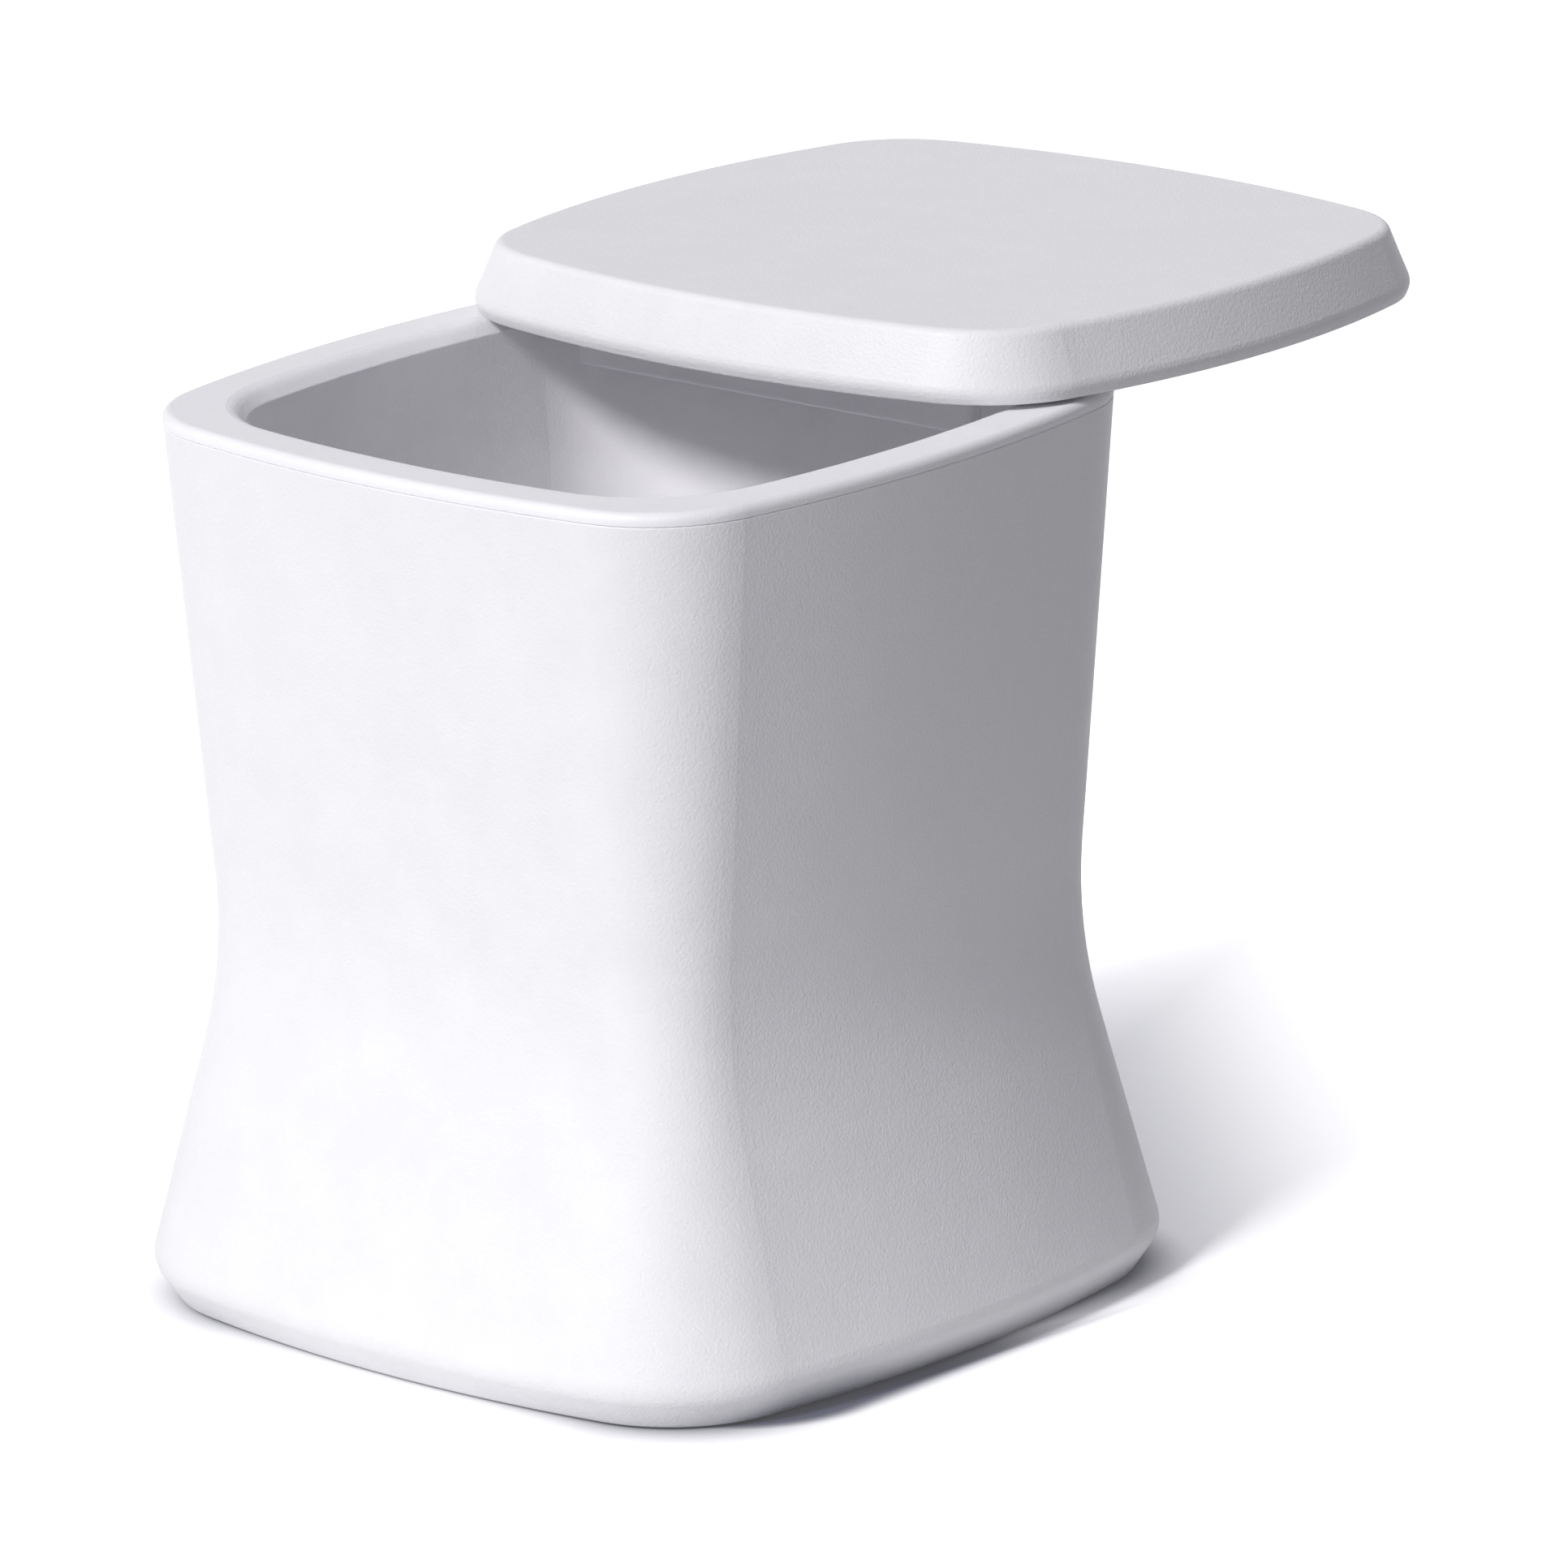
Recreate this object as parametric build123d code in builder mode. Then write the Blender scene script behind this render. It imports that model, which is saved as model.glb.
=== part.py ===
from build123d import *
import math
import os

# A cooler side table: an hourglass body of moulded polyethylene with a foam-insulated ice tub,
# and a lift-off table top that lies drawn back over the rim. Millimetres, +Z up, floor at Z = 0,
# the body's axis on Z. The body's front face looks along -Y.

# Plan outline of the body at the rim: a square with bowed sides and round corners
rim_half_width = 229.0
side_bow_radius = 875.0
corner_radius = 78.0

# Wall sections reach in to this corner radius, and flat plates fill the middle
plate_corner_radius = 3.0

# Heights of the body, and how far its profile stands out from the rim outline
body_height = 534.0
foot_lift = 1.5
waist_height = 205.4
waist_inset = 26.4
waist_blend_radius = 318.0
ridge_height = 24.0
ridge_flare = 21.4
ridge_round = 16.0
base_flare = 6.0
base_round = 3.0
shell_wall = 4.0

# Rim with its lip, and the tub, whose wall meets the rim's flat at a bevel
rim_lip_height = 8.0
rim_outer_round = 5.0
seam_round = 1.0
lip_strip = 14.0
liner_wall = 4.0
tub_half_width = 189.0
tub_bow_radius = 835.0
tub_corner_radius = 76.0
tub_depth = 354.0
tub_taper = 17.0
tub_floor_round = 14.0
bevel_width = 8.0
bevel_drop = 8.7
bevel_low_round = 2.0
bevel_top_round = 12.0
bevel_strip = 8.0
tongue_length = 10.0
tongue_gap = 0.3
foam_gap = 0.3

# Feet and the stoppers of the foaming holes
foot_radius = 18.0
foot_stem_radius = 6.0
foot_spacing = 300.0
foot_round = 0.6
stem_gap = 0.1
fill_hole_radius = 12.0
fill_hole_spacing = 180.0
fill_flange_radius = 16.0
fill_flange_thickness = 1.0
fill_flange_round = 0.4

# Drain through the back wall
drain_floor_gap = 12.0
drain_flange_radius = 18.0
drain_flange_thickness = 3.0
drain_flange_round = 1.0
drain_tube_radius = 11.0
drain_bore_radius = 8.0
drain_tube_round = 0.6
drain_hole_gap = 0.2
drain_pad_radius = 21.0
drain_pad_proud = 3.0
drain_pad_root = 2.0
drain_pad_round = 1.0
drain_boss_radius = 24.0
drain_boss_proud = 6.0
drain_boss_round = 2.0
drain_inner_gasket_thickness = 2.0
drain_outer_gasket_thickness = 1.5
drain_gasket_radius = 17.0
drain_nut_across_flats = 32.0
drain_nut_thickness = 8.0
drain_nut_chamfer = 0.8
drain_nut_gap = 0.1
drain_tube_past_nut = 2.0
plug_head_radius = 15.0
plug_head_thickness = 10.0
plug_shank_gap = 0.3
plug_shank_length = 26.0
plug_seal_thickness = 1.6
plug_flute_count = 10
plug_flute_radius = 2.4
plug_flute_depth = 1.2
plug_edge_round = 1.2
plug_grip_length = 21.0
plug_grip_width = 5.0
plug_grip_height = 5.0
plug_grip_round = 1.2

# Lid outline and edge, and the two ribs under it that hang in the tub's mouth when it is shut
lid_half_width = 237.2
lid_bow_radius = 681.0
lid_corner_radius = 84.0
lid_thickness = 41.7
lid_widest_height = 7.4
lid_top_inset = 14.2
lid_bottom_inset = 3.0
lid_top_round = 6.0
lid_widest_round = 9.0
lid_bottom_round = 2.0
lid_wall = 4.0
lid_seam_gap = 0.3
pan_edge_round = 0.5
rib_length = 295.0
rib_width = 14.0
rib_depth = 31.0
rib_reach = 162.0
rib_end_round = 5.0
rib_edge_round = 3.0
rib_draft = 1.0
gasket_inset = 17.0
gasket_width = 7.0
gasket_groove_depth = 2.0
gasket_proud = 1.0
gasket_gap = 0.1
lid_fill_offset = 60.0
lid_foam_chamfer = 4.5

# Where the lid lies when the tub is open: drawn back over the rear rim, turned a little and leaning back
lid_shift_x = -6.8
lid_shift_y = 277.3
lid_turn = 2.2
lid_lean = 1.5
lid_rest_gap = 0.3

# Derived places
base_bottom = foot_lift
lip_bottom = body_height - rim_lip_height
tub_floor = body_height - tub_depth
drain_height = tub_floor + drain_flange_radius + drain_floor_gap
bevel_bottom = body_height - bevel_drop
tub_slope = tub_taper / (bevel_bottom - tub_floor)
pad_face = tub_half_width - tub_slope * (bevel_bottom - drain_height) - drain_pad_proud

body_plate_edge = plate_corner_radius - corner_radius
tub_plate_edge = plate_corner_radius - tub_corner_radius
lid_plate_edge = plate_corner_radius - lid_corner_radius
rim_outline = (rim_half_width, side_bow_radius, corner_radius)
tub_outline = (tub_half_width, tub_bow_radius, tub_corner_radius)
lid_outline = (lid_half_width, lid_bow_radius, lid_corner_radius)

lean = math.radians(lid_lean)
turn = math.radians(lid_turn)
lid_rise = math.tan(lean) * (rim_half_width - rim_outer_round - lid_shift_y)
lid_plane = Plane(
    origin=(lid_shift_x, lid_shift_y, body_height + lid_rest_gap + lid_rise),
    x_dir=(math.cos(turn), math.sin(turn) * math.cos(lean), -math.sin(turn) * math.sin(lean)),
    z_dir=(0, math.sin(lean), math.cos(lean)),
)


def outline_arcs(outline):
    """The eight tangent arcs of a bowed square, as (centre, radius, start angle, sweep)."""
    half, bow, corner = outline
    bow_centre = half - bow
    reach = bow - corner
    corner_centre = (bow_centre + math.sqrt(2 * reach**2 - bow_centre**2)) / 2
    half_sweep = math.degrees(math.atan2(corner_centre, corner_centre - bow_centre))
    corner_sweep = 90 - 2 * half_sweep
    arcs = []
    for quarter in range(4):
        facing = 90 * quarter
        side = Vector(bow_centre, 0).rotate(Axis.Z, facing)
        round_corner = Vector(corner_centre, corner_centre).rotate(Axis.Z, facing)
        arcs.append((side, bow, facing - half_sweep, 2 * half_sweep))
        arcs.append((round_corner, corner, facing + half_sweep, corner_sweep))
    return arcs


def carry_round(outline, corners, rounds, base=Plane.XY):
    """A wall: its section, given as (distance out from the outline, height), carried all the way round."""
    with BuildPart() as wall:
        for centre, radius, start, sweep in outline_arcs(outline):
            origin = base.from_local_coords(centre)
            out = (base.x_dir * math.cos(math.radians(start))) + (base.y_dir * math.sin(math.radians(start)))
            section_plane = Plane(origin=origin, x_dir=out, z_dir=out.cross(base.z_dir))
            with BuildSketch(section_plane):
                with BuildLine():
                    FilletPolyline(*[(radius + t, z) for t, z in corners], radius=rounds, close=True)
                make_face()
            revolve(axis=Axis(origin, base.z_dir), revolution_arc=sweep)
    return wall.part


def plate(outline, grow, bottom, thickness, base=Plane.XY):
    """A flat plate whose edge runs a fixed distance out from the outline."""
    with BuildPart() as panel:
        with BuildSketch(base.offset(bottom)):
            with BuildLine():
                for centre, radius, start, sweep in outline_arcs(outline):
                    CenterArc(centre, radius + grow, start, sweep)
            make_face()
        extrude(amount=thickness)
    return panel.part


def parallel(points, distance):
    """The open line of points moved sideways by a distance, to the left of its direction."""
    runs = [(Vector(b) - Vector(a)).normalized() for a, b in zip(points, points[1:])]
    lefts = [Vector(-run.Y, run.X) for run in runs]
    moved = [Vector(points[0]) + lefts[0] * distance]
    for point, before, after in zip(points[1:-1], lefts, lefts[1:]):
        moved.append(Vector(point) + (before + after) * (distance / (1 + before.dot(after))))
    moved.append(Vector(points[-1]) + lefts[-1] * distance)
    return [(point.X, point.Y) for point in moved]


def at_height(lower, upper, height):
    """How far out the straight line through two profile points is at a height."""
    return lower[0] + (upper[0] - lower[0]) * (height - lower[1]) / (upper[1] - lower[1])


def wall_reach(height):
    """How far out from the rim outline the body's wall is at a height, above or below the waist."""
    if height > waist_height:
        return at_height((-waist_inset, waist_height), (0, body_height), height)
    return at_height((ridge_flare, ridge_height), (-waist_inset, waist_height), height)


def turned(corners, rounds):
    """A solid turned about the drain's axis, from a section given as (radius, distance along Y)."""
    with BuildPart() as solid:
        with BuildSketch(Plane.XY.offset(drain_height)):
            with BuildLine():
                FilletPolyline(*corners, radius=rounds, close=True)
            make_face()
        revolve(axis=Axis((0, 0, drain_height), (0, 1, 0)))
    return solid.part


def ring(inner_radius, outer_radius, start, thickness):
    """A flat ring about the drain's axis, from a distance along Y towards the back."""
    with BuildPart() as washer:
        with BuildSketch(drain_plane(start)):
            Circle(outer_radius)
            Circle(inner_radius, mode=Mode.SUBTRACT)
        extrude(amount=thickness)
    return washer.part


def drain_plane(distance):
    """The plane across the drain's axis at a distance along Y, facing the back."""
    return Plane(origin=(0, distance, drain_height), x_dir=(-1, 0, 0), z_dir=(0, 1, 0))


# Profile of the body from the base's edge up to the seam under the rim's lip
lip_flare = at_height((-waist_inset, waist_height), (0, body_height), lip_bottom)
body_profile = [
    (body_plate_edge, base_bottom),
    (base_flare, base_bottom),
    (ridge_flare, ridge_height),
    (-waist_inset, waist_height),
    (lip_flare, lip_bottom),
]
shell_inside = parallel(body_profile, shell_wall)
shell_inside[-1] = (at_height(*shell_inside[-2:], lip_bottom), lip_bottom)

# The drain's boss grows out of the back wall and stands proud of the wall above and below it
boss_edges = [drain_height - drain_boss_radius, drain_height + drain_boss_radius]
boss_root = rim_half_width + min(wall_reach(height) for height in boss_edges)
boss_face = rim_half_width + max(wall_reach(height) for height in boss_edges) + drain_boss_proud

foot_places = [
    ("foot_front_left", -1, -1),
    ("foot_front_right", 1, -1),
    ("foot_rear_left", -1, 1),
    ("foot_rear_right", 1, 1),
]

# Outer shell: the hourglass wall, the base plate and the drain's boss on the back
with BuildPart() as outer_shell:
    add(
        carry_round(
            rim_outline,
            body_profile + shell_inside[::-1],
            [0, base_round, ridge_round, waist_blend_radius, seam_round]
            + [0, waist_blend_radius + shell_wall, ridge_round - shell_wall, base_round, 0],
        )
    )
    add(plate(rim_outline, body_plate_edge, base_bottom, shell_wall))
    add(
        turned(
            [(0, boss_root), (drain_boss_radius, boss_root), (drain_boss_radius, boss_face), (0, boss_face)],
            [0, 0, drain_boss_round, 0],
        )
    )
    with BuildSketch(drain_plane(boss_face)):
        Circle(drain_tube_radius + drain_hole_gap)
    extrude(amount=-drain_boss_radius, mode=Mode.SUBTRACT)
    with BuildSketch(Plane.XY.offset(base_bottom)):
        with GridLocations(foot_spacing, foot_spacing, 2, 2):
            Circle(foot_stem_radius + stem_gap)
        with GridLocations(fill_hole_spacing, 0, 2, 1):
            Circle(fill_hole_radius + stem_gap)
    extrude(amount=shell_wall, mode=Mode.SUBTRACT)
outer_shell.part.label = "outer_shell"

# Inner liner: the tub with its bevelled mouth, the flat rim and the lip over the shell's top edge
rim_under = body_height - liner_wall
tub_profile = [
    (tub_plate_edge, tub_floor),
    (-tub_taper, tub_floor),
    (0, bevel_bottom),
    (bevel_width, body_height),
    (bevel_width + bevel_strip, body_height),
]
tub_outside = parallel(tub_profile, -liner_wall)
tub_rounds = [0, tub_floor_round, bevel_low_round, bevel_top_round, 0]
tub_rounds += [0, 0, 0, tub_floor_round + liner_wall, 0]
tongue_bottom = lip_bottom - tongue_length
tongue_face = at_height(*shell_inside[-2:], tongue_bottom) - tongue_gap
lip_section = [
    (-lip_strip, rim_under),
    (-lip_strip, body_height),
    (0, body_height),
    (lip_flare, lip_bottom),
    (tongue_face, lip_bottom),
    (tongue_face, tongue_bottom),
    (tongue_face - liner_wall, tongue_bottom),
    (tongue_face - liner_wall, rim_under),
]
pad_root = pad_face + drain_pad_proud + drain_pad_root
with BuildPart() as inner_liner:
    add(plate(rim_outline, -lip_strip / 2, rim_under, liner_wall))
    add(plate(tub_outline, bevel_width + bevel_strip / 2, rim_under, liner_wall), mode=Mode.SUBTRACT)
    add(carry_round(rim_outline, lip_section, [0, 0, rim_outer_round, seam_round, 0, 0, 0, 0]))
    add(carry_round(tub_outline, tub_profile + tub_outside[::-1], tub_rounds))
    add(plate(tub_outline, tub_plate_edge, tub_floor - liner_wall, liner_wall))
    add(
        turned(
            [(0, pad_face), (drain_pad_radius, pad_face), (drain_pad_radius, pad_root), (0, pad_root)],
            [0, drain_pad_round, 0, 0],
        )
    )
    with BuildSketch(drain_plane(pad_face)):
        Circle(drain_tube_radius + drain_hole_gap)
    extrude(amount=drain_pad_radius, mode=Mode.SUBTRACT)
inner_liner.part.label = "inner_liner"

# Insulation core: foam that fills the space between the shell and the tub
core_outside = parallel(body_profile, shell_wall + foam_gap)
core_bottom = core_outside[0][1]
core_top = rim_under - foam_gap
core_shoulder = tongue_bottom - foam_gap
core_edge = tongue_face - liner_wall - foam_gap
core_wall_top = at_height(*core_outside[-2:], core_shoulder)
core_section = core_outside[:-1] + [
    (core_wall_top, core_shoulder),
    (core_edge, core_shoulder),
    (core_edge, core_top),
    (body_plate_edge, core_top),
]
core_rounds = [0, base_round, ridge_round - shell_wall - foam_gap, waist_blend_radius + shell_wall + foam_gap]
core_rounds += [0, 0, 0, 0]
hollow_profile = parallel(tub_profile, -liner_wall - foam_gap)
hollow_bottom = hollow_profile[0][1]
hollow_section = hollow_profile[:4] + [(hollow_profile[3][0], body_height), (tub_plate_edge, body_height)]
hollow_rounds = [0, tub_floor_round + liner_wall + foam_gap, 0, 0, 0, 0]
with BuildPart() as insulation_core:
    add(carry_round(rim_outline, core_section, core_rounds))
    add(plate(rim_outline, body_plate_edge, core_bottom, core_top - core_bottom))
    add(carry_round(tub_outline, hollow_section, hollow_rounds), mode=Mode.SUBTRACT)
    add(plate(tub_outline, tub_plate_edge, hollow_bottom, body_height - hollow_bottom), mode=Mode.SUBTRACT)
    with BuildSketch(drain_plane(0)):
        Circle(drain_boss_radius + foam_gap)
    extrude(amount=rim_half_width, mode=Mode.SUBTRACT)
insulation_core.part.label = "insulation_core"

# Feet: rubber pads, each with a stem pressed up through the base
feet = []
for foot_name, side_x, side_y in foot_places:
    foot_centre = (side_x * foot_spacing / 2, side_y * foot_spacing / 2)
    with BuildPart() as foot:
        with BuildSketch():
            with Locations(foot_centre):
                Circle(foot_radius)
        extrude(amount=foot_lift)
        fillet(foot.edges().group_by(Axis.Z)[0], foot_round)
        with BuildSketch(Plane.XY.offset(foot_lift)):
            with Locations(foot_centre):
                Circle(foot_stem_radius)
        extrude(amount=shell_wall)
    foot.part.label = foot_name
    feet.append(foot.part)

# Fill plugs: stoppers pressed into the two foaming holes of the base
with BuildPart() as fill_plugs:
    with BuildSketch(Plane.XY.offset(base_bottom - fill_flange_thickness)):
        with GridLocations(fill_hole_spacing, 0, 2, 1):
            Circle(fill_flange_radius)
    extrude(amount=fill_flange_thickness)
    fillet(fill_plugs.edges().group_by(Axis.Z)[0], fill_flange_round)
    with BuildSketch(Plane.XY.offset(base_bottom)):
        with GridLocations(fill_hole_spacing, 0, 2, 1):
            Circle(fill_hole_radius)
    extrude(amount=shell_wall)
fill_plugs.part.label = "fill_plugs"

# Drain spout: a flange inside the tub and a tube out through the back
flange_back = pad_face - drain_inner_gasket_thickness
nut_face = boss_face + drain_outer_gasket_thickness
tube_end = nut_face + drain_nut_thickness + drain_tube_past_nut
flange_front = flange_back - drain_flange_thickness
drain_spout = turned(
    [
        (drain_bore_radius, flange_front),
        (drain_flange_radius, flange_front),
        (drain_flange_radius, flange_back),
        (drain_tube_radius, flange_back),
        (drain_tube_radius, tube_end),
        (drain_bore_radius, tube_end),
    ],
    [0, drain_flange_round, 0, 0, drain_tube_round, 0],
)
drain_spout.label = "drain_spout"

drain_ring_hole = drain_tube_radius + drain_nut_gap
drain_inner_gasket = ring(drain_ring_hole, drain_gasket_radius, flange_back, drain_inner_gasket_thickness)
drain_inner_gasket.label = "drain_inner_gasket"
drain_outer_gasket = ring(drain_ring_hole, drain_gasket_radius, boss_face, drain_outer_gasket_thickness)
drain_outer_gasket.label = "drain_outer_gasket"

# Drain nut: a hexagon that clamps the spout against the boss
with BuildPart() as drain_nut:
    with BuildSketch(drain_plane(nut_face)):
        RegularPolygon(drain_nut_across_flats / 2, 6, major_radius=False)
        Circle(drain_ring_hole, mode=Mode.SUBTRACT)
    extrude(amount=drain_nut_thickness)
    chamfer(drain_nut.faces().sort_by(Axis.Y)[-1].outer_wire().edges(), drain_nut_chamfer)
drain_nut.part.label = "drain_nut"

# Drain plug: a fluted head with a grip bar, and a shank that fills the spout's bore
head_face = tube_end + plug_seal_thickness
with BuildPart() as drain_plug:
    with BuildSketch(drain_plane(head_face)):
        Circle(plug_head_radius)
        with PolarLocations(plug_head_radius + plug_flute_radius - plug_flute_depth, plug_flute_count):
            Circle(plug_flute_radius, mode=Mode.SUBTRACT)
    extrude(amount=plug_head_thickness)
    fillet(drain_plug.faces().sort_by(Axis.Y)[-1].edges(), plug_edge_round)
    with BuildSketch(drain_plane(head_face + plug_head_thickness)):
        SlotOverall(plug_grip_length, plug_grip_width)
    extrude(amount=plug_grip_height)
    fillet(drain_plug.faces().sort_by(Axis.Y)[-1].edges(), plug_grip_round)
    with BuildSketch(drain_plane(head_face)):
        Circle(drain_bore_radius - plug_shank_gap)
    extrude(amount=-plug_shank_length)
drain_plug.part.label = "drain_plug"

drain_plug_seal = ring(
    drain_bore_radius - plug_shank_gap + drain_nut_gap, drain_tube_radius, tube_end, plug_seal_thickness
)
drain_plug_seal.label = "drain_plug_seal"

# Lid shell: the table top with its sloped edge, open below
lid_profile = [
    (-lid_bottom_inset, 0),
    (0, lid_widest_height),
    (-lid_top_inset, lid_thickness),
    (lid_plate_edge, lid_thickness),
]
lid_inside = parallel(lid_profile, lid_wall)
lid_lip_inset = -lid_bottom_inset - lid_wall
with BuildPart() as lid_shell:
    add(
        carry_round(
            lid_outline,
            lid_profile + lid_inside[:0:-1] + [(lid_lip_inset, 0)],
            [lid_bottom_round, lid_widest_round, lid_top_round, 0]
            + [0, lid_top_round - lid_wall, lid_widest_round - lid_wall, 0],
            lid_plane,
        )
    )
    add(plate(lid_outline, lid_plate_edge, lid_thickness - lid_wall, lid_wall, lid_plane))
lid_shell.part.label = "lid_shell"

# Lid pan: the flat underside with the gasket's groove, and a rib near its front and its back edge
pan_edge = lid_lip_inset - lid_seam_gap
gasket_outer = -gasket_inset
gasket_inner = -gasket_inset - gasket_width
pan_section = [
    (lid_plate_edge, 0),
    (gasket_inner - gasket_gap, 0),
    (gasket_inner - gasket_gap, gasket_groove_depth),
    (gasket_outer + gasket_gap, gasket_groove_depth),
    (gasket_outer + gasket_gap, 0),
    (pan_edge, 0),
    (pan_edge, lid_wall),
    (lid_plate_edge, lid_wall),
]
with BuildPart() as ribs:
    with BuildSketch():
        with GridLocations(0, 2 * rib_reach - rib_width, 1, 2):
            RectangleRounded(rib_length, rib_width, rib_end_round)
    extrude(amount=-rib_depth, taper=rib_draft)
    fillet(ribs.faces().group_by(Axis.Z)[0].edges(), rib_edge_round)
with BuildPart() as lid_pan:
    add(carry_round(lid_outline, pan_section, [0, 0, 0, 0, 0, pan_edge_round, 0, 0], lid_plane))
    add(plate(lid_outline, lid_plate_edge, 0, lid_wall, lid_plane))
    with BuildSketch(lid_plane):
        with Locations((lid_fill_offset, lid_fill_offset)):
            Circle(fill_hole_radius + stem_gap)
    extrude(amount=lid_wall, mode=Mode.SUBTRACT)
    add(lid_plane.location * ribs.part)
lid_pan.part.label = "lid_pan"

# Lid insulation: foam that fills the lid between the shell and the pan
fill_inside = parallel(lid_profile, lid_wall + foam_gap)
foam_bottom = lid_wall + foam_gap
foam_top = fill_inside[2][1]
foam_edge = at_height(*fill_inside[1:3], foam_bottom)
foam_section = [
    (lid_plate_edge, foam_bottom),
    (min(foam_edge, pan_edge), foam_bottom),
    (fill_inside[1][0] - lid_foam_chamfer, lid_widest_height + lid_foam_chamfer),
    (fill_inside[2][0], foam_top),
    (lid_plate_edge, foam_top),
]
with BuildPart() as lid_insulation:
    add(carry_round(lid_outline, foam_section, [0, 0, 0, lid_top_round - lid_wall, 0], lid_plane))
    add(plate(lid_outline, lid_plate_edge, foam_bottom, foam_top - foam_bottom, lid_plane))
lid_insulation.part.label = "lid_insulation"

# Lid gasket: a soft ring in its groove, which lies on the rim when the lid is shut
gasket_section = [
    (gasket_inner, -gasket_proud),
    (gasket_outer, -gasket_proud),
    (gasket_outer, gasket_groove_depth),
    (gasket_inner, gasket_groove_depth),
]
lid_gasket = carry_round(lid_outline, gasket_section, [gasket_proud, gasket_proud, 0, 0], lid_plane)
lid_gasket.label = "lid_gasket"

# Lid fill plug: the stopper of the lid's foaming hole, flush with the pan's underside
with BuildPart() as lid_fill_plug:
    with BuildSketch(lid_plane):
        with Locations((lid_fill_offset, lid_fill_offset)):
            Circle(fill_hole_radius)
    extrude(amount=lid_wall)
lid_fill_plug.part.label = "lid_fill_plug"

os.makedirs("parts", exist_ok=True)
pieces = [
    outer_shell.part,
    inner_liner.part,
    insulation_core.part,
    *feet,
    fill_plugs.part,
    drain_spout,
    drain_inner_gasket,
    drain_outer_gasket,
    drain_nut.part,
    drain_plug.part,
    drain_plug_seal,
    lid_shell.part,
    lid_pan.part,
    lid_insulation.part,
    lid_gasket,
    lid_fill_plug.part,
]
for piece in pieces:
    export_step(piece, f"parts/{piece.label}.step")
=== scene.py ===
import math

import bpy
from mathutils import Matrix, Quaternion, Vector

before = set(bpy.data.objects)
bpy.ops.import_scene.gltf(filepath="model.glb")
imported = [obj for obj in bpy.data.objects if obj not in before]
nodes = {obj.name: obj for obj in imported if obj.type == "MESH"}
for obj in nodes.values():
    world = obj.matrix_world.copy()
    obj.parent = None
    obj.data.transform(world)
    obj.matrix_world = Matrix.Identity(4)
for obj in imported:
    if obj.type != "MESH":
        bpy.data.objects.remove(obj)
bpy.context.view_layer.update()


# Outer shell: the hourglass wall and base of the table, one hollow moulding of off-white polyethylene.
# It comes out of a blasted mould, so it is matt with a fine orange-peel grain, and the wall waves a little
# where it shrank as it cooled.
def add_node(material, kind, **inputs):
    """A new shader node in a material, with constant values on the named input sockets."""
    node = material.node_tree.nodes.new(kind)
    for socket, value in inputs.items():
        node.inputs[socket.replace("_", " ")].default_value = value
    return node


def link(material, out_socket, in_socket):
    """Joins two sockets of a material."""
    material.node_tree.links.new(out_socket, in_socket)


def new_finish(name):
    """An empty finish, with its shader and the piece's own coordinates."""
    material = bpy.data.materials.new(name)
    material.use_nodes = True
    shader = material.node_tree.nodes["Principled BSDF"]
    place = add_node(material, "ShaderNodeTexCoord").outputs["Object"]
    return material, shader, place


def noise(material, place, size, detail, roughness=0.5):
    """A noise pattern on the piece, with blotches of about a size in metres."""
    pattern = add_node(material, "ShaderNodeTexNoise", Scale=1 / size, Detail=detail, Roughness=roughness)
    link(material, place, pattern.inputs["Vector"])
    return pattern.outputs["Fac"]


pattern_low = 0.3
pattern_high = 0.7


def graded(material, pattern, low, high):
    """A pattern's middle range, spread between two values."""
    spread = add_node(material, "ShaderNodeMapRange", From_Min=pattern_low, From_Max=pattern_high)
    spread.inputs["To Min"].default_value = low
    spread.inputs["To Max"].default_value = high
    link(material, pattern, spread.inputs["Value"])
    return spread.outputs["Result"]


def tinted(material, pattern, dark, pale):
    """A pattern's middle range, spread between two colours."""
    ramp = add_node(material, "ShaderNodeValToRGB")
    low, high = ramp.color_ramp.elements
    low.position = pattern_low
    low.color = (*dark, 1)
    high.position = pattern_high
    high.color = (*pale, 1)
    link(material, pattern, ramp.inputs["Fac"])
    return ramp.outputs["Color"]


def raised(material, pattern, depth, strength, below=None):
    """A relief of a depth in metres made from a pattern, on top of another relief if one is given."""
    relief = add_node(material, "ShaderNodeBump", Distance=depth, Strength=strength)
    link(material, pattern, relief.inputs["Height"])
    if below:
        link(material, below, relief.inputs["Normal"])
    return relief.outputs["Normal"]


def polyethylene(name, dark, pale, grain_size, grain_depth):
    """Matt moulded polyethylene: faint clouds in the colour and the gloss, a slow wave and a fine grain."""
    cloud_size = 0.05
    cloud_detail = 5
    cloud_roughness = 0.6
    glossiest = 0.46
    dullest = 0.56
    wave_size = 0.11
    wave_detail = 1
    wave_depth = 0.0012
    wave_strength = 0.25
    grain_detail = 2
    grain_strength = 0.6
    material, plastic, place = new_finish(name)
    clouds = noise(material, place, cloud_size, cloud_detail, cloud_roughness)
    grain = noise(material, place, grain_size, grain_detail)
    link(material, tinted(material, clouds, dark, pale), plastic.inputs["Base Color"])
    link(material, graded(material, clouds, glossiest, dullest), plastic.inputs["Roughness"])
    wave = raised(material, noise(material, place, wave_size, wave_detail), wave_depth, wave_strength)
    link(material, raised(material, grain, grain_depth, grain_strength, wave), plastic.inputs["Normal"])
    return material


def coat(material, slot, *names):
    """Puts a finish on CAD nodes. The slot, the record's slot that the finish stands for, is not used."""
    for name in names:
        nodes[name].data.materials.clear()
        nodes[name].data.materials.append(material)


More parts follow.
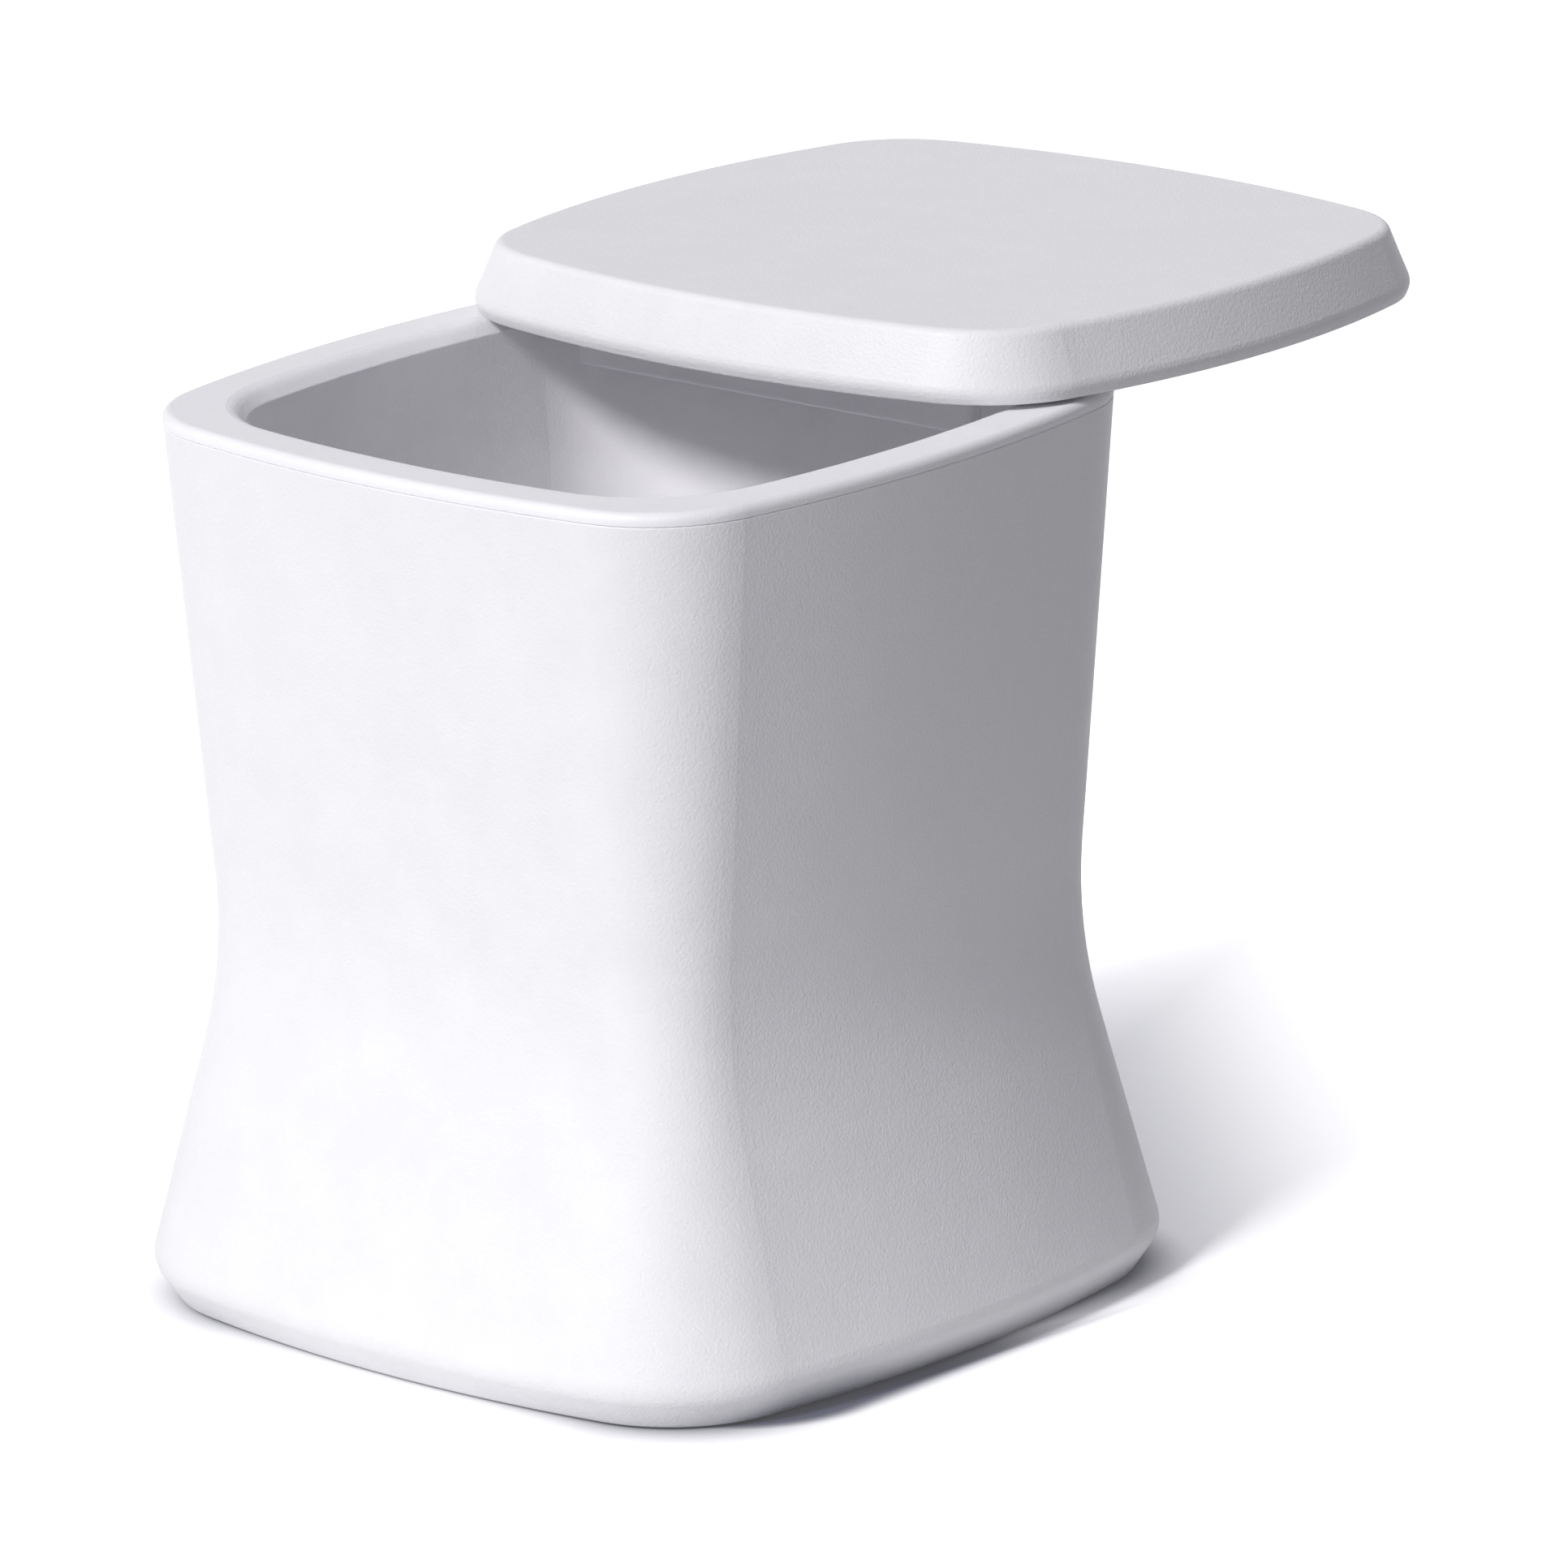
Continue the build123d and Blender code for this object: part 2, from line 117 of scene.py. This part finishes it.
shell_dark = (0.84, 0.84, 0.855)
shell_pale = (0.885, 0.885, 0.9)
shell_grain_size = 0.002
shell_relief = 0.0006
shell_plastic = polyethylene("shell_polyethylene", shell_dark, shell_pale, shell_grain_size, shell_relief)
coat(shell_plastic, "shell_polyethylene", "outer_shell")


# Inner liner: the tub with its broad rim, a second off-white moulding that drops into the shell.
# Its lip covers the shell's top edge at a fine seam, and its grain is finer than the shell's.
liner_dark = (0.89, 0.885, 0.905)
liner_pale = (0.93, 0.925, 0.945)
liner_grain_size = 0.0018
liner_relief = 0.0004
liner_plastic = polyethylene("liner_polyethylene", liner_dark, liner_pale, liner_grain_size, liner_relief)
coat(liner_plastic, "liner_polyethylene", "inner_liner")


# Foam: rigid polyurethane that is poured into the body and the lid through their foaming holes.
# It fills the walls, is cream coloured and shows its closed cells where it is cut.
def cellular_foam(name):
    """Rigid foam: small round cells, darker in their middles, under a cream skin."""
    cell_size = 0.0016
    cell_depth = 0.0005
    cell_strength = 0.6
    cell_dark = (0.66, 0.57, 0.36)
    cell_pale = (0.87, 0.8, 0.6)
    foam_roughness = 0.9
    material, foam, place = new_finish(name)
    cells = add_node(material, "ShaderNodeTexVoronoi", Scale=1 / cell_size)
    link(material, place, cells.inputs["Vector"])
    from_middle = cells.outputs["Distance"]
    link(material, tinted(material, from_middle, cell_dark, cell_pale), foam.inputs["Base Color"])
    link(material, raised(material, from_middle, cell_depth, cell_strength), foam.inputs["Normal"])
    foam.inputs["Roughness"].default_value = foam_roughness
    return material


coat(cellular_foam("foam"), "foam", "insulation_core", "lid_insulation")


# Feet: round black rubber pads under the corners of the base, each pressed in by its stem.
# The rubber is matt, a little dusty, and keeps the base clear of the floor.
def moulded_rubber(name, dark, pale, roughness):
    """Moulded rubber: a fine speckle, a soft bloom in patches and a dull surface."""
    speckle_size = 0.0009
    speckle_detail = 2
    speckle_depth = 0.00008
    speckle_strength = 0.5
    bloom_size = 0.012
    bloom_detail = 4
    bloom_roughness = 0.6
    gloss_change = 0.06
    material, rubber, place = new_finish(name)
    bloom = noise(material, place, bloom_size, bloom_detail, bloom_roughness)
    gloss = graded(material, bloom, roughness - gloss_change, roughness + gloss_change)
    speckle = noise(material, place, speckle_size, speckle_detail)
    link(material, tinted(material, bloom, dark, pale), rubber.inputs["Base Color"])
    link(material, gloss, rubber.inputs["Roughness"])
    link(material, raised(material, speckle, speckle_depth, speckle_strength), rubber.inputs["Normal"])
    return material


foot_dark = (0.018, 0.018, 0.019)
foot_pale = (0.034, 0.034, 0.035)
foot_roughness = 0.72
foot_rubber = moulded_rubber("foot_rubber", foot_dark, foot_pale, foot_roughness)
coat(foot_rubber, "foot_rubber", "foot_front_left", "foot_front_right", "foot_rear_left", "foot_rear_right")


# Stoppers: off-white plugs pressed into the foaming holes of the base and of the lid's underside.
# They are moulded by injection, so they are smoother than the walls around them.
stopper_dark = (0.8, 0.8, 0.815)
stopper_pale = (0.84, 0.84, 0.855)
stopper_grain_size = 0.0011
stopper_relief = 0.00006
stopper_grain = (stopper_grain_size, stopper_relief)
stopper_plastic = polyethylene("stopper_polyethylene", stopper_dark, stopper_pale, *stopper_grain)
coat(stopper_plastic, "stopper_polyethylene", "fill_plugs", "lid_fill_plug")


# Drain: a pale grey nylon spout through the back wall, clamped by its nut, with black rubber rings
# on both sides of the wall.
def moulded_nylon(name, dark, pale, roughness):
    """Injection-moulded nylon: an even colour with faint flow streaks and a fine satin texture."""
    streak_size = 0.006
    streak_detail = 4
    streak_roughness = 0.6
    gloss_change = 0.05
    texture_size = 0.0008
    texture_detail = 2
    texture_depth = 0.00005
    texture_strength = 0.5
    material, nylon, place = new_finish(name)
    streaks = noise(material, place, streak_size, streak_detail, streak_roughness)
    gloss = graded(material, streaks, roughness - gloss_change, roughness + gloss_change)
    texture = noise(material, place, texture_size, texture_detail)
    link(material, tinted(material, streaks, dark, pale), nylon.inputs["Base Color"])
    link(material, gloss, nylon.inputs["Roughness"])
    link(material, raised(material, texture, texture_depth, texture_strength), nylon.inputs["Normal"])
    return material


fitting_dark = (0.6, 0.6, 0.615)
fitting_pale = (0.66, 0.66, 0.675)
fitting_roughness = 0.4
seal_dark = (0.02, 0.02, 0.021)
seal_pale = (0.036, 0.036, 0.037)
seal_roughness = 0.6
fitting_nylon = moulded_nylon("fitting_plastic", fitting_dark, fitting_pale, fitting_roughness)
seal_rubber = moulded_rubber("seal_rubber", seal_dark, seal_pale, seal_roughness)
coat(fitting_nylon, "fitting_plastic", "drain_spout", "drain_nut")
coat(seal_rubber, "seal_rubber", "drain_inner_gasket", "drain_outer_gasket", "drain_plug_seal")


# Drain plug: an off-white screw plug with a fluted head and a grip bar, moulded in nylon.
# It screws into the spout from outside, and a hand turns it out to drain the tub.
plug_dark = (0.76, 0.76, 0.775)
plug_pale = (0.81, 0.81, 0.825)
plug_roughness = 0.42
plug_nylon = moulded_nylon("plug_plastic", plug_dark, plug_pale, plug_roughness)
coat(plug_nylon, "plug_plastic", "drain_plug")


# Lid shell: the table top, an off-white moulding with a flat top and a sloped edge.
# It has the shell's grain and is closed below by the pan.
lid_plastic = polyethylene("lid_polyethylene", shell_dark, shell_pale, shell_grain_size, shell_relief)
coat(lid_plastic, "lid_polyethylene", "lid_shell")


# Lid pan: the flat underside of the lid, moulded in the liner's plastic.
# Its two ribs keep the lid in the tub's mouth when the lid is shut.
coat(liner_plastic, "liner_polyethylene", "lid_pan")


# Lid gasket: a pale ring of soft silicone, moulded in one piece.
# It sits in a groove of the pan and seals on the rim when the lid is shut.
silicone_dark = (0.55, 0.55, 0.565)
silicone_pale = (0.62, 0.62, 0.635)
silicone_roughness = 0.5
lid_seal = moulded_rubber("lid_seal", silicone_dark, silicone_pale, silicone_roughness)
coat(lid_seal, "lid_seal", "lid_gasket")


# Studio floor: a wide sheet that throws light up on the object. Its own colour is white next to the body and
# darker to the right and further off.
# For the camera it also glows, so it shows white where it is lit. The object's shadow stays on it next to the
# body. The glow is painted light: it is cool, and it is stronger to the right and further off, which paints
# the shadow out there.
# A soft shade is painted on it round the base, darkest in a narrow strip along the base's right side, in a
# dark bluish colour with only a weak glow.
def combined(material, operation, first, second):
    """The result of an operation on two sockets, or on a socket and a number."""
    node = add_node(material, "ShaderNodeMath")
    node.operation = operation
    link(material, first, node.inputs[0])
    if isinstance(second, (int, float)):
        node.inputs[1].default_value = second
    else:
        link(material, second, node.inputs[1])
    return node.outputs[0]


def stepped(material, operation, place, other=(0, 0, 0)):
    """A vector operation on a place and a fixed vector."""
    node = add_node(material, "ShaderNodeVectorMath")
    node.operation = operation
    link(material, place, node.inputs[0])
    node.inputs[1].default_value = other
    return node.outputs


def rising(material, distance, start, end):
    """A smooth rise from 0 to 1 between two distances."""
    rise = add_node(material, "ShaderNodeMapRange", From_Min=start, From_Max=end)
    rise.interpolation_type = "SMOOTHSTEP"
    link(material, distance, rise.inputs["Value"])
    return rise.outputs["Result"]


def past_outline(material, place, half_width, bow_radius, corner_radius, corner_centre):
    """How far outside a bowed square with round corners a place on the floor is."""
    bow_centre = half_width - bow_radius
    folded = stepped(material, "ABSOLUTE", place)["Vector"]
    in_corner = stepped(material, "SUBTRACT", folded, (corner_centre, corner_centre, 0))["Vector"]
    outwards = stepped(material, "MAXIMUM", in_corner)["Vector"]
    from_corner = stepped(material, "LENGTH", outwards)["Value"]
    from_bow_x = stepped(material, "DISTANCE", folded, (bow_centre, 0, 0))["Value"]
    from_bow_y = stepped(material, "DISTANCE", folded, (0, bow_centre, 0))["Value"]
    from_bow = combined(material, "MAXIMUM", from_bow_x, from_bow_y)
    past_bow = combined(material, "SUBTRACT", from_bow, bow_radius)
    past_corner = combined(material, "SUBTRACT", from_corner, corner_radius)
    return combined(material, "MAXIMUM", past_bow, past_corner)


def seen_directly(material):
    """1 for rays from the camera and for rays that a gloss or a glass sends on, and otherwise 0."""
    rays = add_node(material, "ShaderNodeLightPath").outputs
    camera_or_gloss = combined(material, "MAXIMUM", rays["Is Camera Ray"], rays["Is Glossy Ray"])
    return combined(material, "MAXIMUM", camera_or_gloss, rays["Is Transmission Ray"])


floor_size = 60.0
near_bounce = (0.95, 0.95, 0.95, 1)
far_bounce = (0.3, 0.3, 0.3, 1)
# Painted shade: the dark bluish colour of the shade painted round the base and in the strip along its right
# side.
painted_shade_colour = (0.1, 0.105, 0.15, 1)
# Painted light: the floor's glow is cool, so the shade left next to the body looks bluish.
lift_colour = (0.965, 0.965, 1, 1)
# Painted shade: the weak glow that the painted shade keeps.
painted_shade_glow = 0.07
# Painted light: the floor's glow for the camera is added everywhere, and more of it is added to the right and
# further off, which paints the object's shadow out there.
near_lift = 0.27
far_painted_glow = 0.73
# Where the glow that paints the shadow out grows: to the right, and further off from the middle.
fade_direction = (0.66, 0.75, 0)
fade_length = (0.28, 0.49)
far_length = (0.4, 0.85)
base_half_width = 0.235
base_bow_radius = 0.881
base_corner_radius = 0.084
base_corner_centre = 0.1388
# Painted shade round the base: its outline is moved a little, and these are the distances over which it fades
# out.
round_shift = (0.004, 0.004, 0)
round_base = (-0.02, 0.034)
# Painted shade strip along the base's right side: its outline is moved to that side. These are its soft edge
# and where it ends towards the back.
strip_shift = (0.013, 0.03, 0)
strip_edge = (0.006, 0.024)
strip_direction = (0, 1, 0)
strip_end = (-0.05, 0.17)
bpy.ops.object.select_all(action="DESELECT")
bpy.ops.mesh.primitive_plane_add(size=floor_size, location=(0, 0, 0))
floor = bpy.context.active_object
floor.name = "studio_floor"
floor_paint = bpy.data.materials.new("studio_floor")
floor_paint.use_nodes = True
floor_paint.node_tree.nodes.remove(floor_paint.node_tree.nodes["Principled BSDF"])
floor_place = add_node(floor_paint, "ShaderNodeTexCoord").outputs["Object"]
# Masks of the glow that paints the shadow out to the right and further off. The sheet's own colour also
# darkens to the right.
far_off = rising(floor_paint, stepped(floor_paint, "LENGTH", floor_place)["Value"], *far_length)
along_fade = stepped(floor_paint, "DOT_PRODUCT", floor_place, fade_direction)["Value"]
to_the_right = rising(floor_paint, along_fade, *fade_length)
base_size = (base_half_width, base_bow_radius, base_corner_radius, base_corner_centre)
# Masks of the painted shade round the base and of the painted strip.
round_place = stepped(floor_paint, "SUBTRACT", floor_place, round_shift)["Vector"]
clear_of_painted_base_shade = rising(floor_paint, past_outline(floor_paint, round_place, *base_size), *round_base)
strip_place = stepped(floor_paint, "SUBTRACT", floor_place, strip_shift)["Vector"]
past_edge = rising(floor_paint, past_outline(floor_paint, strip_place, *base_size), *strip_edge)
along_strip = stepped(floor_paint, "DOT_PRODUCT", floor_place, strip_direction)["Value"]
clear_of_painted_strip = combined(floor_paint, "MAXIMUM", past_edge, rising(floor_paint, along_strip, *strip_end))
clear_of_painted_shade = combined(floor_paint, "MINIMUM", clear_of_painted_base_shade, clear_of_painted_strip)
bounce = add_node(floor_paint, "ShaderNodeValToRGB")
bounce.color_ramp.elements[0].color = near_bounce
bounce.color_ramp.elements[1].color = far_bounce
link(floor_paint, to_the_right, bounce.inputs["Fac"])
# The sheet's colour, mixed with the dark painted shade round the base and in the strip.
open_paper = add_node(floor_paint, "ShaderNodeBsdfDiffuse")
link(floor_paint, bounce.outputs["Color"], open_paper.inputs["Color"])
painted_shade_paper = add_node(floor_paint, "ShaderNodeBsdfDiffuse", Color=painted_shade_colour)
paper = add_node(floor_paint, "ShaderNodeMixShader")
link(floor_paint, clear_of_painted_shade, paper.inputs["Fac"])
link(floor_paint, painted_shade_paper.outputs[0], paper.inputs[1])
link(floor_paint, open_paper.outputs[0], paper.inputs[2])
# Painted light: the glow is stronger where it paints the shadow out, and it is held down in the painted shade
# round the base.
shadow_painted_out = combined(floor_paint, "MAXIMUM", far_off, to_the_right)
open_lift = combined(floor_paint, "ADD", combined(floor_paint, "MULTIPLY", shadow_painted_out, far_painted_glow), near_lift)
shaded_lift = combined(floor_paint, "MULTIPLY", open_lift, clear_of_painted_shade)
lift = combined(floor_paint, "MAXIMUM", shaded_lift, painted_shade_glow)
seen_lift = combined(floor_paint, "MULTIPLY", lift, seen_directly(floor_paint))
glow = add_node(floor_paint, "ShaderNodeEmission", Color=lift_colour)
link(floor_paint, seen_lift, glow.inputs["Strength"])
both = add_node(floor_paint, "ShaderNodeAddShader")
link(floor_paint, paper.outputs[0], both.inputs[0])
link(floor_paint, glow.outputs[0], both.inputs[1])
link(floor_paint, both.outputs[0], floor_paint.node_tree.nodes["Material Output"].inputs["Surface"])
floor.data.materials.append(floor_paint)


# Surroundings: a white room as the camera sees it.
# On the object it is a dim cool light, strongest overhead.
room_white = (1, 1, 1, 1)
white_strength = 1.0
room_light = (0.9, 0.91, 1.0, 1)
wall_strength = 0.1
ceiling_strength = 0.4
world = bpy.data.worlds.new("studio_room")
world.use_nodes = True
bpy.context.scene.world = world
dim = world.node_tree.nodes["Background"]
dim.inputs["Color"].default_value = room_light
heading = add_node(world, "ShaderNodeSeparateXYZ")
link(world, add_node(world, "ShaderNodeTexCoord").outputs["Generated"], heading.inputs["Vector"])
overhead = add_node(world, "ShaderNodeMapRange", To_Min=wall_strength, To_Max=ceiling_strength)
link(world, heading.outputs["Z"], overhead.inputs["Value"])
link(world, overhead.outputs["Result"], dim.inputs["Strength"])
white = add_node(world, "ShaderNodeBackground", Color=room_white, Strength=white_strength)
which = add_node(world, "ShaderNodeMixShader")
link(world, seen_directly(world), which.inputs["Fac"])
link(world, dim.outputs[0], which.inputs[1])
link(world, white.outputs[0], which.inputs[2])
link(world, which.outputs[0], world.node_tree.nodes["World Output"].inputs["Surface"])


# Key light: one soft lamp, almost straight in front of the body's front face and well above it.
# It lights the front face and the lid, and leaves the right side in shade.
key_height = 39.5
key_side = 0.5
key_softness = 10.0
key_strength = 2.38
key_colour = (1.0, 0.99, 1.0)
towards_key = Vector((
    math.sin(math.radians(key_side)) * math.cos(math.radians(key_height)),
    -math.cos(math.radians(key_side)) * math.cos(math.radians(key_height)),
    math.sin(math.radians(key_height)),
))
bpy.ops.object.light_add(type="SUN", rotation=(-towards_key).to_track_quat("-Z", "Y").to_euler())
key = bpy.context.active_object
key.name = "key_light"
key.data.energy = key_strength
key.data.color = key_colour
key.data.angle = math.radians(key_softness)


# Camera: a long lens off the body's front right corner, a little above the lid.
# It is turned slightly about its own axis.
view_azimuth = math.radians(42.119)
view_elevation = math.radians(16.538)
view_distance = 7.547
orbit_height = 0.2294
aim_point = Vector((0.0586, 0.0530, 0.2982))
view_roll = math.radians(-1.123)
lens_length = 298.16
towards_camera = Vector((
    math.sin(view_azimuth) * math.cos(view_elevation),
    -math.cos(view_azimuth) * math.cos(view_elevation),
    math.sin(view_elevation),
))
bpy.ops.object.camera_add(location=Vector((0, 0, orbit_height)) + towards_camera * view_distance)
camera = bpy.context.active_object
camera.name = "photo_camera"
camera.data.lens = lens_length
camera.rotation_mode = "QUATERNION"
aim = (aim_point - camera.location).to_track_quat("-Z", "Y")
camera.rotation_quaternion = aim @ Quaternion((0, 0, 1), view_roll)
bpy.context.scene.camera = camera
bpy.context.scene.view_settings.view_transform = "Standard"
